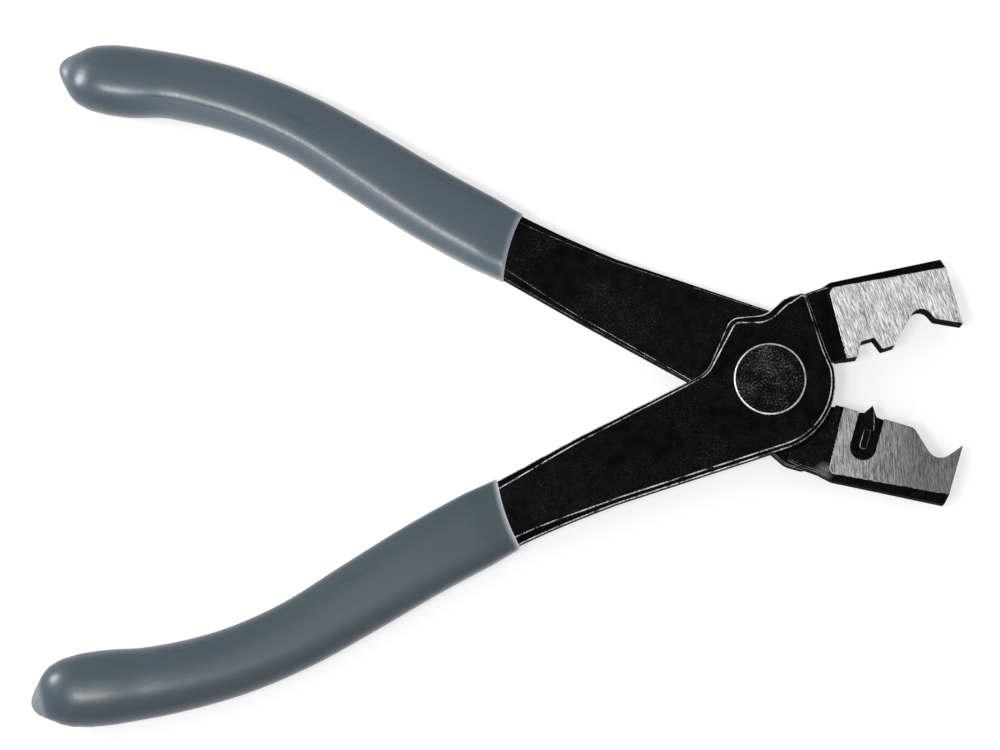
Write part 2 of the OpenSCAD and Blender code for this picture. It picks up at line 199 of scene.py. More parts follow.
def corner(a, b, c, steps):
    """The rounded corner b between a and c, as points."""
    p = np.array(b[:2], float)
    if b[2] == 0:
        return [p]
    u, v = unit(np.array(a[:2]) - p), unit(np.array(c[:2]) - p)
    half = math.acos(float(u @ v)) / 2
    middle = p + unit(u + v) * b[2] / math.sin(half)
    first = p + u * b[2] / math.tan(half) - middle
    last = p + v * b[2] / math.tan(half) - middle
    start = math.atan2(first[1], first[0])
    turn = (math.atan2(last[1], last[0]) - start + math.pi) % (2 * math.pi) - math.pi
    angles = [start + turn * i / steps for i in range(steps + 1)]
    return [middle + b[2] * np.array((math.cos(a), math.sin(a))) for a in angles]


def rounded(points, steps):
    """A closed outline with its corners, [x, y, radius], rounded in that many steps each."""
    n = len(points)
    return [p for i in range(n) for p in corner(points[i - 1], points[i], points[(i + 1) % n], steps)]


def arc(centre, r, start, end, steps):
    """Points along an arc between two angles in degrees."""
    angles = np.radians(np.linspace(start, end, steps + 1))
    return [np.array(centre) + r * np.array((math.cos(a), math.sin(a))) for a in angles]


def area(points):
    """The signed area inside an outline, above 0 if it runs anticlockwise."""
    p = np.array(points)
    q = np.roll(p, -1, 0)
    return float((p[:, 0] * q[:, 1] - p[:, 1] * q[:, 0]).sum()) / 2


def anticlockwise(points):
    return points if area(points) > 0 else points[::-1]


def inset(points, widths, ends=None):
    """An anticlockwise line moved inwards by a width at each point.

    An open line's two ends move along the two directions in ends.
    """
    n = len(points)
    out = []
    for i, p in enumerate(points):
        if ends is not None and i in (0, n - 1):
            out.append(p + widths[i] * ends[0 if i == 0 else 1])
            continue
        u, v = unit(p - points[i - 1]), unit(points[(i + 1) % n] - p)
        inward = unit((-u[1] - v[1], u[0] + v[0]))
        out.append(p + inward * widths[i] / max(0.5, float(inward @ np.array((-u[1], u[0])))))
    return out


def past(a, b, y):
    """The point at height y on the line through a and b."""
    return (a[0] + (b[0] - a[0]) * (y - a[1]) / (b[1] - a[1]), y, 0)


def ease(t):
    """A smooth step from 0 at 0 to 1 at 1."""
    t = min(1.0, max(0.0, t))
    return t * t * (3 - 2 * t)


class Handle:
    """A handle's smooth centre line and sizes, through the rows of its table."""

    def __init__(self, rows):
        rows = np.array(rows, float)
        before, after = 2 * rows[0] - rows[1], 2 * rows[-1] - rows[-2]
        p = np.vstack([before, rows, after])
        line = []
        for i in range(len(rows) - 1):
            p0, p1, p2, p3 = p[i:i + 4]
            for t in np.linspace(0, 1, HANDLE_STEPS + 1)[:-1]:
                line.append(0.5 * (2 * p1 + (p2 - p0) * t + (2 * p0 - 5 * p1 + 4 * p2 - p3) * t * t
                                   + (3 * p1 - p0 - 3 * p2 + p3) * t ** 3))
        line.append(rows[-1])
        self.line = np.array(line)[::-1]

    def at(self, x):
        """[x, y, half width of the bar, half width of the grip, half thickness of the grip] at x."""
        return [x] + [float(np.interp(x, self.line[:, 0], self.line[:, k])) for k in range(1, 5)]

    def across(self, x):
        """The direction square to the handle at x, towards its outer side."""
        reach = 1.5
        along = unit(np.array(self.at(x - reach)[:2]) - np.array(self.at(x + reach)[:2]))
        return np.array((-along[1], along[0]))

    def ring(self, x, section):
        """Points [across, up, along] of a section at x, in the lever's own axes."""
        side = self.across(x)
        along = np.array((side[1], -side[0]))
        middle = np.array(self.at(x)[:2])
        out = []
        for a, up, shift in section:
            q = middle + side * a + along * shift
            out.append((q[0], q[1], up))
        return out


FRONT = Handle(FRONT_HANDLE)
REAR = Handle(REAR_HANDLE)


# ---------------------------------------------------------------- meshes
def mesh_object(name, points, faces, marks, materials, values=None):
    """An object from points in mm, in a lever's own axes, with a material number for each face.

    values holds named lists of a number for each point.
    """
    mesh = bpy.data.meshes.new(name)
    mesh.from_pydata([tuple(float(c) * MM for c in p) for p in points], [], faces)
    for m in materials:
        mesh.materials.append(m)
    mesh.polygons.foreach_set("material_index", marks)
    for label, numbers in (values or {}).items():
        mesh.attributes.new(label, "FLOAT", "POINT").data.foreach_set("value", numbers)
    mesh.update()
    obj = bpy.data.objects.new(name, mesh)
    bpy.context.scene.collection.objects.link(obj)
    shell = bmesh.new()
    shell.from_mesh(mesh)
    bmesh.ops.recalc_face_normals(shell, faces=shell.faces)
    shell.to_mesh(mesh)
    shell.free()
    return obj


def loft(name, rings, strip_marks, cap_marks, materials):
    """A closed solid through rings of equal length."""
    n, m = len(rings[0]), len(rings)
    points = [p for r in rings for p in r]
    faces, marks = [], []
    for j in range(m - 1):
        for i in range(n):
            k = (i + 1) % n
            faces.append((j * n + i, j * n + k, (j + 1) * n + k, (j + 1) * n + i))
            marks.append(strip_marks[j])
    faces.append(tuple(range(n - 1, -1, -1)))
    faces.append(tuple((m - 1) * n + i for i in range(n)))
    marks += list(cap_marks)
    return mesh_object(name, points, faces, marks, materials)


def boolean(obj, other, operation):
    """obj joined with, or cut by, other, which is used up."""
    modifier = obj.modifiers.new("Cut", "BOOLEAN")
    modifier.operation = operation
    modifier.solver = "MANIFOLD"
    modifier.object = other
    bpy.context.view_layer.update()
    result = bpy.data.meshes.new_from_object(obj.evaluated_get(bpy.context.evaluated_depsgraph_get()))
    obj.modifiers.clear()
    old = obj.data
    obj.data = result
    bpy.data.meshes.remove(old)
    spent = other.data
    bpy.data.objects.remove(other)
    bpy.data.meshes.remove(spent)
    return obj


def place(obj, turned=False):
    """Moves a piece from a lever's own axes into the frame."""
    way = Matrix.Translation((0, 0, LAP_Z * MM))
    if turned:
        way = way @ Matrix.Rotation(math.pi, 4, "X")
    obj.data.transform(way)
    return obj


def finish_shading(obj, angle=32):
    """Smooth faces with crisp edges, and flat faces that stay flat."""
    apart = 2e-7
    shell = bmesh.new()
    shell.from_mesh(obj.data)
    bmesh.ops.remove_doubles(shell, verts=shell.verts, dist=apart)
    bmesh.ops.dissolve_degenerate(shell, edges=shell.edges, dist=apart)
    shell.to_mesh(obj.data)
    shell.free()
    obj.data.polygons.foreach_set("use_smooth", [True] * len(obj.data.polygons))
    obj.data.set_sharp_from_angle(angle=math.radians(angle))
    weighted = obj.modifiers.new("Normals", "WEIGHTED_NORMAL")
    weighted.keep_sharp = True
    weighted.weight = 60
    return obj


def edge_profile(width, depth, worn, top):
    """[inset, height] of a chamfer with a worn strip along each edge, from the wall to a face at top."""
    share = min(0.3, worn / width)
    past_edge = 0.3 * worn
    return [(0, top - depth - past_edge), (share * width, top - (1 - share) * depth),
            ((1 - share) * width, top - share * depth), (width + past_edge, top)]


def both_sides(profile):
    """An edge profile's levels, [inset, height], from the lower face round the wall to the upper one."""
    return [(i, -z) for i, z in profile[::-1]] + profile


OXIDE, EDGE, GROUND = 0, 1, 2
EDGED = [EDGE, OXIDE, EDGE, OXIDE, EDGE, OXIDE, EDGE]     # the strips between the levels of both_sides


def blend(a, b, t):
    return a * (1 - t) + b * t


def cranked(x):
    """How far a bar has cranked at x, from 0 in its lap half to 1 in the middle."""
    return ease((x - CRANK[0]) / (CRANK[1] - CRANK[0]))


def bar_faces(t):
    """Heights of a bar's lower and upper faces when it has cranked by t."""
    return blend(LAP_FACE, -BAR_HALF, t), blend(HUB_TOP, BAR_HALF, t)


def hub_and_bar(name, handle, materials):
    """One half of the lap joint and its handle bar, one closed skin."""
    start = BAR_ENDS[0]
    side = handle.across(start)
    middle = np.array(handle.at(start)[:2])
    w = handle.at(start)[2]
    outer, inner = middle + w * side, middle - w * side
    corners = [tuple(c[:3]) for c in HUB_CORNERS] + [(inner[0], inner[1], 0)]
    chamfers = [c[3] for c in HUB_CORNERS] + [EDGE_DEPTH]
    outline, widths = [outer], [EDGE_DEPTH]
    for p in arc(HUB_CENTRE, HUB_R, *HUB_ARC, 36):
        outline.append(p)
        widths.append(HUB_ROUND_CHAMFER)
    for i in range(1, len(corners)):
        after = corners[i + 1] if i + 1 < len(corners) else corners[0]
        for p in corner(corners[i - 1], corners[i], after, 10):
            outline.append(p)
            widths.append(chamfers[i])
    n = len(outline)
    ends = (-side, side)

    def level(profiles):
        moved = inset(outline, [q[0] for q in profiles], ends)
        return [(p[0], p[1], q[1]) for p, q in zip(moved, profiles)]

    lap_widths = [LAP_CHAMFER] * n
    lap_widths[0] = lap_widths[-1] = LAP_CHAMFER_BAR
    under = [[(i, LAP_FACE - z) for i, z in edge_profile(c, LAP_CHAMFER, FINE_WORN, 0)]
             for c in lap_widths]
    over = [edge_profile(c, EDGE_DEPTH, WORN, HUB_TOP) for c in widths]
    rings = [level([q[3 - k] for q in under]) for k in range(4)]
    rings += [level([q[k] for q in over]) for k in range(4)]

    def bar_section(x):
        t = cranked(x)
        half = handle.at(x)[2]
        low, high = bar_faces(t)
        c_low, c_high = blend(LAP_CHAMFER_BAR, BAR_CHAMFER, t), blend(EDGE_DEPTH, BAR_CHAMFER, t)
        bottom_depth = blend(LAP_CHAMFER, BAR_CHAMFER, t)
        bottom = [(i, low - z) for i, z in edge_profile(c_low, bottom_depth, FINE_WORN, 0)[::-1]]
        profile = bottom + edge_profile(c_high, c_high, WORN, high)
        return [(half - i, z, 0) for i, z in profile] + [(i - half, z, 0) for i, z in profile[::-1]]

    stations = [start - d for d in np.arange(BAR_STEP, start - BAR_ENDS[1] + 0.01, BAR_STEP)]
    bar = [handle.ring(x, bar_section(x)) for x in stations]
    points = [p for r in rings for p in r] + [p for r in bar for p in r]
    levels, around = len(rings), len(bar[0])
    faces, marks = [], []
    for j in range(levels - 1):
        for i in range(n - 1):
            a = j * n + i
            faces.append((a, a + 1, a + n + 1, a + n))
            marks.append(EDGED[j])
    # The bar's first section is the hub's open end, up one side and down the other.
    seam = [j * n for j in range(levels)] + [j * n + n - 1 for j in range(levels - 1, -1, -1)]
    bar_marks = EDGED + [OXIDE] + EDGED[::-1] + [OXIDE]
    rows = [seam] + [[levels * n + around * j + i for i in range(around)] for j in range(len(bar))]
    for j in range(len(rows) - 1):
        for i in range(around):
            k = (i + 1) % around
            faces.append((rows[j][i], rows[j][k], rows[j + 1][k], rows[j + 1][i]))
            marks.append(bar_marks[i])
    faces.append(tuple(range(n)))
    faces.append(tuple((levels - 1) * n + i for i in range(n - 1, -1, -1)))
    faces.append(tuple(rows[-1]))
    marks += [OXIDE] * 3
    return mesh_object(name, points, faces, marks, materials)


def neck(name, which, materials):
    """The forged neck, from inside the hub to inside the jaw."""
    outline = anticlockwise([np.array(p, float) for p in NECK_EDGES[which] + NECK])
    levels = both_sides(edge_profile(NECK_CHAMFER, NECK_CHAMFER, FINE_WORN, NECK_HALF))
    rings = [[(p[0], p[1], z) for p in inset(outline, [i] * len(outline))] for i, z in levels]
    return loft(name, rings, EDGED, (OXIDE, OXIDE), materials)


def blank(side, tip, back, lean):
    """A jaw's outline before its mouth is cut.

    Its side along the neck is nearer the pivot by back, and leans out by lean.
    """
    first = (side[0][0] - back - lean, side[0][1] - ROOT_DROP * lean, side[0][2])
    root = past(side[0], JAW_ROOT, JAW_BLANK_Y)
    points = [(root[0] - back - lean, root[1], 0), first, *side[1:], past(side[-1], tip, JAW_BLANK_Y)]
    return anticlockwise(rounded(points, 10))


def jaw(name, which, materials):
    """A jaw with a ground flat on each side, and a bevel from its edge out to the forged wall."""
    tip, back = TIPS[which], JAW_BACK[which]
    ground = blank(JAW_SIDE, tip, back, 0)
    forged = blank(JAW_FORGED, tip, back, ROOT_SLOPE)
    lip = inset(ground, [GROUND_LIP] * len(ground))
    heights = ((lip, JAW_HALF), (ground, JAW_HALF - GROUND_LIP / 2), (forged, JAW_EDGE))
    rings = [[(p[0], p[1], -z) for p in outline] for outline, z in heights]
    rings += [[(p[0], p[1], z) for p in outline] for outline, z in heights[::-1]]
    return loft(name, rings, [EDGE, OXIDE, OXIDE, OXIDE, EDGE], (GROUND, GROUND), materials)


def mouth_cut(which, materials):
    """What is cut from a jaw's blank and the neck for its mouth."""
    tip, mouth = TIPS[which], MOUTHS[which]
    outline = rounded([past(mouth[0], tip, tip[1] - MOUTH_PAST), *mouth, *MOUTH_ENDS], 10)
    return prism("mouth", outline, *CUT, materials)


def prism(name, outline, low, high, materials, mark=OXIDE):
    """A flat-ended solid on an outline, all of one material."""
    outline = anticlockwise(outline)
    rings = [[(p[0], p[1], z) for p in outline] for z in (low, high)]
    return loft(name, rings, [mark], (mark, mark), materials)


def turned(points, angle):
    """Points turned about the origin by an angle in radians."""
    c, s = math.cos(angle), math.sin(angle)
    return [np.array((c * p[0] - s * p[1], s * p[0] + c * p[1])) for p in points]


def lever(name, which, handle, materials):
    """One lever: hub and bar, joined to a neck and jaw, with the mouth, bore and tooth slot cut out."""
    ahead = boolean(neck(name + "_neck", which, materials), jaw(name + "_jaw", which, materials), "UNION")
    ahead = boolean(ahead, mouth_cut(which, materials), "DIFFERENCE")
    room = arc(HOLLOW_CENTRE, HOLLOW_R, *HOLLOW_ARC, 60) + [np.array(p) for p in HOLLOW_BACK]
    ahead = boolean(ahead, prism("room", room, HUB_CUT[0], LAP_FACE, materials), "DIFFERENCE")
    obj = boolean(hub_and_bar(name, handle, materials), ahead, "UNION")
    bore = arc((0, 0), BORE_R, 0, 360, 72)[:-1]
    obj = boolean(obj, prism("bore", bore, *HUB_CUT, materials), "DIFFERENCE")
    if which == "rear":
        r = SLOT_W / 2
        slot = arc((SLOT_X, SLOT_BOTTOM - r), r, 0, 180, 28)
        slot += [np.array((SLOT_X + side * r, SLOT_MOUTH)) for side in (-1, 1)]
        obj = boolean(obj, prism("slot", turned(slot, SLOT_TURN), *CUT, materials), "DIFFERENCE")
    obj.name = name
    return finish_shading(place(obj, which == "rear"))


# ---------------------------------------------------------------- materials
class Nodes:
    """A small helper around one material's node tree."""

    def __init__(self, name):
        self.material = bpy.data.materials.new(name)
        self.material.use_nodes = True
        self.tree = self.material.node_tree
        self.shader = self.tree.nodes["Principled BSDF"]
        self.coordinates = self.tree.nodes.new("ShaderNodeTexCoord").outputs["Object"]

    def link(self, a, b):
        self.tree.links.new(a, b)

    def stretched(self, angle, along, across):
        """Coordinates drawn out at an angle in degrees, for grain of that length and width in metres."""
        node = self.tree.nodes.new("ShaderNodeMapping")
        node.vector_type = "TEXTURE"
        node.inputs["Rotation"].default_value = (0, 0, math.radians(angle))
        node.inputs["Scale"].default_value = (along, across, across)
        self.link(self.coordinates, node.inputs["Vector"])
        return node.outputs["Vector"]

    def noise(self, scale, detail=3.0, roughness=0.55, vector=None, distortion=0.0):
        node = self.tree.nodes.new("ShaderNodeTexNoise")
        node.inputs["Scale"].default_value = scale
        node.inputs["Detail"].default_value = detail
        node.inputs["Roughness"].default_value = roughness
        node.inputs["Distortion"].default_value = distortion
        self.link(vector or self.coordinates, node.inputs["Vector"])
        return node.outputs["Fac"]

    def between(self, value, low, high, out_low=0.0, out_high=1.0):
        node = self.tree.nodes.new("ShaderNodeMapRange")
        node.inputs["From Min"].default_value = low
        node.inputs["From Max"].default_value = high
        node.inputs["To Min"].default_value = out_low
        node.inputs["To Max"].default_value = out_high
        self.link(value, node.inputs["Value"])
        return node.outputs["Result"]

    def math(self, operation, a, b):
        node = self.tree.nodes.new("ShaderNodeMath")
        node.operation = operation
        for socket, value in zip(node.inputs, (a, b)):
            if isinstance(value, (int, float)):
                socket.default_value = value
            else:
                self.link(value, socket)
        return node.outputs[0]

    def mix(self, share, a, b):
        node = self.tree.nodes.new("ShaderNodeMix")
        node.data_type = "RGBA"
        self.link(share, node.inputs["Factor"])
        for socket, value in ((node.inputs[6], a), (node.inputs[7], b)):
            if isinstance(value, tuple):
                socket.default_value = (*value, 1)
            else:
                self.link(value, socket)
        return node.outputs[2]

    def bump(self, height, strength, distance, normal=None):
        node = self.tree.nodes.new("ShaderNodeBump")
        node.inputs["Strength"].default_value = strength
        node.inputs["Distance"].default_value = distance
        self.link(height, node.inputs["Height"])
        if normal:
            self.link(normal, node.inputs["Normal"])
        return node.outputs["Normal"]

    def part(self, axis):
        node = self.tree.nodes.new("ShaderNodeSeparateXYZ")
        self.link(self.coordinates, node.inputs[0])
        return node.outputs[axis]

    def near(self, place, reach):
        """1 at a place given in mm, falling to 0 at a distance of reach."""
        node = self.tree.nodes.new("ShaderNodeVectorMath")
        node.operation = "DISTANCE"
        self.link(self.coordinates, node.inputs[0])
        node.inputs[1].default_value = tuple(c * MM for c in place)
        return self.between(node.outputs["Value"], reach * MM, 0.2 * reach * MM)

    def attribute(self, name):
        node = self.tree.nodes.new("ShaderNodeAttribute")
        node.attribute_name = name
        return node.outputs["Fac"]

    def set(self, **values):
        for name, value in values.items():
            socket = self.shader.inputs[name.replace("_", " ")]
            if isinstance(value, (int, float)):
                socket.default_value = value
            elif isinstance(value, tuple):
                socket.default_value = (*value, 1)
            else:
                self.link(value, socket)


def oxide(name, dark, light, specks, painted_sheen=None):
    """Black oxide on a shot-blasted forging: near black, with fine bright specks and a soft, uneven sheen.

    The last argument is the place, in mm, the reach and the colour of a painted reflection: a grey spot of
    sheen.
    """
    m = Nodes(name)
    cloud = m.between(m.noise(420, 4), 0.35, 0.7)
    grain = m.noise(3700, 3, 0.75)
    patchy = m.between(m.noise(130, 4), 0.3, 0.75, 0.75, 1.05)
    colour = m.mix(cloud, dark, light)
    colour = m.mix(m.between(m.math("MULTIPLY", grain, patchy), 0.50, 0.68), colour, specks)
    if painted_sheen:
        # painted reflection: a grainy grey spot of sheen mixed in around a place
        place, reach, tint = painted_sheen
        pale_spot = m.math("MULTIPLY", m.near(place, reach), m.between(grain, 0.3, 0.65, 0.35, 1))
        colour = m.mix(pale_spot, colour, tint)
    m.set(Base_Color=colour, Metallic=0.9, Roughness=m.between(m.noise(900, 3), 0.3, 0.7, 0.42, 0.62),
          Specular_IOR_Level=0.25, Specular_Tint=(0.12, 0.12, 0.12),
          Normal=m.bump(grain, 0.5, 0.00004, m.bump(m.noise(600, 3), 0.25, 0.00012)))
    return m.material


def worn(name, dark, bright, low, high):
    """An edge where handling has rubbed the oxide through to steel, in broken lengths.

    It is dark where its noise is below low, and bright above high.
    """
    m = Nodes(name)
    patches, grain = m.noise(350, 3), m.noise(2600, 3, 0.7)
    painted_sheen = m.math("ADD", m.math("MULTIPLY", patches, 0.5), m.math("MULTIPLY", grain, 0.5))
    share = m.between(painted_sheen, low, high)
    m.set(Base_Color=m.mix(share, dark, bright), Metallic=0.9, Roughness=0.42,
          Normal=m.bump(m.noise(3800, 2), 0.35, 0.00003))
    return m.material


def ground_steel(name, angle, dark, bright, shade=None):
    """A surface-ground face: fine scratches at an angle in degrees, over a soft grey cloud.

    shade is painted shade: where along X, in metres, the face starts and stops darkening, and its pair of
    colours past that.
    """
    m = Nodes(name)
    lines = m.noise(1, 4, 0.65, m.stretched(angle, 0.0019, 0.00011))
    hair = m.noise(1, 2, 0.6, m.stretched(angle + 1.5, 0.0010, 0.00007))
    cloud = m.noise(160, 2)
    tone = m.math("ADD", m.math("MULTIPLY", hair, 0.38), m.math("MULTIPLY", cloud, 0.10))
    tone = m.math("ADD", m.math("MULTIPLY", lines, 0.52), tone)
    colour = m.mix(m.between(tone, 0.43, 0.575), dark, bright)
    if shade:
        # painted shade: past a place along X the face takes darker colours
        start, end, (shade_dark, shade_bright) = shade
        shaded = m.mix(m.between(tone, 0.4, 0.62), shade_dark, shade_bright)
        colour = m.mix(m.between(m.part(0), start, end), colour, shaded)
    m.set(Base_Color=colour, Metallic=1.0, Roughness=m.between(lines, 0.3, 0.7, 0.3, 0.46),
          Normal=m.bump(m.math("ADD", lines, hair), 0.30, 0.00002))
    return m.material


def vinyl(name, base, deep, angle, dull, fold=0):
    """Dipped vinyl: a soft, slightly uneven colour with long dark flow marks.

    angle is the way it flowed, in degrees. dull is its roughness. fold is how much paler it is past the
    fold along its inner side, a painted reflection, with a dark line of painted shade in the crease before
    it. The grip's mesh says where that is, how strong the painted highlight on the rim is, and how pale
    the
    drip is: its own paler tone, with painted light on it.
    """
    m = Nodes(name)
    drift = m.between(m.noise(28, 3, 0.5), 0.32, 0.68)
    sag = m.noise(1, 3, 0.5, m.stretched(angle, 0.05, 0.006))
    streak = m.noise(1, 3, 0.5, m.stretched(angle, 0.022, 0.0013))
    colour = m.mix(drift, deep, base)
    colour = m.mix(m.between(sag, 0.54, 0.72, 0, 0.5), colour, (0.022, 0.036, 0.048))
    colour = m.mix(m.between(streak, 0.60, 0.73, 0, 0.6), colour, (0.015, 0.027, 0.038))
    if fold:
        side = m.math("ADD", m.attribute("Side"), m.between(sag, 0.3, 0.7, -0.02, 0.02))
        depth = m.attribute("Fold")
        # painted reflection: the side past the fold painted paler, as the floor would show in it
        fold_reflection = m.math("MULTIPLY", m.between(side, 0.30, 0.42, 0, fold), depth)
        colour = m.mix(fold_reflection, colour, (0.16, 0.20, 0.235))
        # painted shade: a dark line along the crease before the fold
        crease_shade = m.math("MULTIPLY", m.between(side, 0.12, 0.25), m.between(side, 0.37, 0.27))
        uneven = m.between(streak, 0.35, 0.6, 0.35, 0.9)
        crease_shade = m.math("MULTIPLY", m.math("MULTIPLY", crease_shade, depth), uneven)
        colour = m.mix(crease_shade, colour, (0.012, 0.022, 0.031))
    # a painted highlight along the cuff's rim, and on the drip its paler tone with painted light on it
    colour = m.mix(m.attribute("PaleAndHighlight"), colour, (0.74, 0.82, 0.89))
    m.set(Base_Color=colour, Roughness=m.between(m.noise(1700, 2), 0.3, 0.7, dull, dull + 0.08), IOR=1.5,
          Specular_IOR_Level=0.45, Coat_Weight=0.22, Coat_Roughness=0.22,
          Normal=m.bump(streak, 0.15, 0.00012, m.bump(m.noise(140, 2, 0.4), 0.12, 0.0002)))
    return m.material


FRONT_LOOK = [
    oxide("front_oxide", (0.0022, 0.0022, 0.0023), (0.0050, 0.0050, 0.0052), (0.026, 0.026, 0.026)),
    worn("front_worn_edge", (0.012, 0.012, 0.012), (0.72, 0.72, 0.715), 0.41, 0.56),
    # the same ground steel as the rear jaw's, with its colours painted lighter: painted light
    ground_steel("front_ground_face_painted_light", -70, (0.15, 0.15, 0.149), (0.90, 0.90, 0.895)),
]
REAR_LOOK = [
    # with a painted reflection: a grey spot on the bevel where the neck meets the jaw's corner
    oxide("rear_oxide_and_sheen", (0.0027, 0.0027, 0.0028), (0.0062, 0.0062, 0.0064), (0.032, 0.032, 0.032),
          ((9.6, -16.4, 6.4), 2.1, (0.17, 0.17, 0.17))),
    worn("rear_worn_edge", (0.010, 0.010, 0.010), (0.40, 0.40, 0.395), 0.44, 0.58),
    # the same ground steel as the front jaw's, with its colours painted darker: painted shade
    ground_steel("rear_ground_face_painted_shade", -86, (0.09, 0.09, 0.089), (0.46, 0.46, 0.457),
                 (0.0165, 0.026, ((0.045, 0.045, 0.0445), (0.25, 0.25, 0.248)))),
]
FRONT_VINYL = vinyl("front_vinyl", (0.028, 0.045, 0.058), (0.023, 0.039, 0.052), 26, 0.35)
# 0.26 is how strong the painted reflection past the rear grip's fold is
REAR_VINYL = vinyl("rear_vinyl", (0.036, 0.056, 0.073), (0.029, 0.047, 0.063), -24, 0.30, 0.26)

# ---------------------------------------------------------------- the levers
front_lever = lever("front_forging", "front", FRONT, FRONT_LOOK)
rear_lever = lever("rear_forging", "rear", REAR, REAR_LOOK)


# ---------------------------------------------------------------- the rivet
def revolve(name, profile, marks, materials, steps=128):
    """A solid turned about the pivot, from [radius, height] points given from the bottom up.

    marks holds a material number for its two ends, and then one for each step of the profile.
    """
    points, faces, face_marks = [(0, 0, profile[0][1]), (0, 0, profile[-1][1])], [], []
    for r, z in profile:
        for i in range(steps):
            a = 2 * math.pi * i / steps
            points.append((r * math.cos(a), r * math.sin(a), z))
    for i in range(steps):
        k = (i + 1) % steps
        faces.append((0, 2 + k, 2 + i))
        faces.append((1, 2 + (len(profile) - 1) * steps + i, 2 + (len(profile) - 1) * steps + k))
        face_marks += [marks[0], marks[0]]
        for j in range(len(profile) - 1):
            a, b = 2 + j * steps, 2 + (j + 1) * steps
            faces.append((a + i, a + k, b + k, b + i))
            face_marks.append(marks[j + 1])
    return mesh_object(name, points, faces, face_marks, materials)


def rivet_face(name):
    """The rivet's blasted head: dark grey with coarse pale specks, more of them towards the middle."""
    m = Nodes(name)
    grain = m.noise(2900, 4, 0.8)
    blotch = m.between(m.noise(300, 3), 0.3, 0.7, 0.82, 1.02)
    pale_spot = m.math("MULTIPLY", m.near((-0.4, 2.6, 9.6), 3.6), 0.05)
    share = m.between(m.math("ADD", m.math("MULTIPLY", grain, blotch), pale_spot), 0.49, 0.64)
    m.set(Base_Color=m.mix(share, (0.003, 0.003, 0.003), (0.12, 0.12, 0.119)), Metallic=0.9,
          Roughness=0.48, Specular_Tint=(0.2, 0.2, 0.2), Normal=m.bump(grain, 0.6, 0.00005))
    return m.material


# A head's rounded rim: how far each point is in from its edge, and from its flat face
RIM = ((0.3, 0), (0.22, 0.02), (0.07, 0.10), (0, 0.20))
FACE, RIM_MARK = 0, 1


def rivet_profile():
    """The rivet's outline, [radius, height], from its lower head's face to its upper one's."""
    lowest, highest = -LAP_Z, HUB_TOP + HEAD_H
    lower = [(HEAD_R - i, lowest + d) for i, d in RIM]
    upper = [(HEAD_R - i, highest - d) for i, d in RIM[::-1]]
    above_lower = -HUB_TOP - LAP_FACE
    shank = [(HEAD_R, above_lower), (SHANK_R, above_lower), (SHANK_R, HUB_TOP), (HEAD_R, HUB_TOP)]
    return lower + shank + upper


RIVET_LOOK = [
    rivet_face("rivet_face"),
    worn("rivet_rim", (0.16, 0.16, 0.158), (0.72, 0.72, 0.71), 0.34, 0.56),
]
rim_marks = [RIM_MARK] * (len(RIM) - 1)
rivet = revolve("rivet", rivet_profile(), [FACE] + rim_marks + [FACE] * 5 + rim_marks, RIVET_LOOK)
finish_shading(place(rivet), 40)


# ---------------------------------------------------------------- the tooth
def tooth():
    """The hardened tooth: its body, low in the slot, with a raised bar and a fine ridge on each side."""
    body_half = JAW_HALF - TOOTH_RECESS
    outline = arc((SLOT_X, SLOT_BOTTOM - SLOT_W / 2), SLOT_W / 2 - PLAY, 0, 180, 28)
    outline += [np.array((SLOT_X + x, y)) for x, y in TOOTH_POINT[::-1]]
    outline = anticlockwise(outline)
    widths = [1.0 if p[1] > TOOTH_SQUARE else TOOTH_SHARP for p in outline]

    def solid(name, shape, shares, profile, strips):
        levels = [(inset(shape, [i * w for w in shares]), z) for i, z in both_sides(profile)]
        rings = [[(p[0], p[1], z) for p in turned(moved, SLOT_TURN)] for moved, z in levels]
        return loft(name, rings, strips, (OXIDE, OXIDE), TOOTH_LOOK)

    edge = edge_profile(TOOTH_CHAMFER, TOOTH_CHAMFER, TOOTH_WORN, body_half)
    body = solid("tooth", outline, widths, edge, EDGED)
    (low, high), (low_r, high_r) = RIB_SPAN, RIB_CORNERS
    left, right = SLOT_X - RIB_HALF, SLOT_X + RIB_HALF
    corners = [(left, low, low_r), (right, low, low_r), (right, high, high_r), (left, high, high_r)]
    rib = rounded(corners, 6)
    edge = edge_profile(RIB_CHAMFER, RIB_CHAMFER, RIB_WORN, body_half + RIB_HEIGHT)
    bar = solid("rib", rib, [1.0] * len(rib), edge, [EDGE, EDGE, EDGE, OXIDE, EDGE, EDGE, EDGE])
    body = boolean(body, bar, "UNION")
    line = [np.array((SLOT_X + x, y)) for x, y in RIDGE]
    half = body_half + RIDGE_HEIGHT
    ridge = prism("ridge", turned(line, SLOT_TURN), -half, half, TOOTH_LOOK, EDGE)
    return finish_shading(place(boolean(body, ridge, "UNION"), True))


TOOTH_LOOK = [
    oxide("tooth_oxide", (0.0022, 0.0022, 0.0022), (0.0052, 0.0052, 0.0052), (0.026, 0.026, 0.026)),
    worn("tooth_edge", (0.03, 0.03, 0.03), (0.30, 0.30, 0.295), 0.38, 0.56),
]
tooth_piece = tooth()


# ---------------------------------------------------------------- the grips
def oval(w, h, power, slope, dip):
    """A section's points, [across, up, along]: 2 is an ellipse, a greater power is squarer."""
    out = []
    for i in range(SECTION):
        a = 2 * math.pi * (i + 0.5) / SECTION
        c, s = math.cos(a), math.sin(a)
        x = w * math.copysign(abs(c) ** (2 / power), c)
        z = h * math.copysign(abs(s) ** (2 / power), s)
        out.append((x, z, slope * x + dip * (1 - (x / w) ** 2)))
    return out


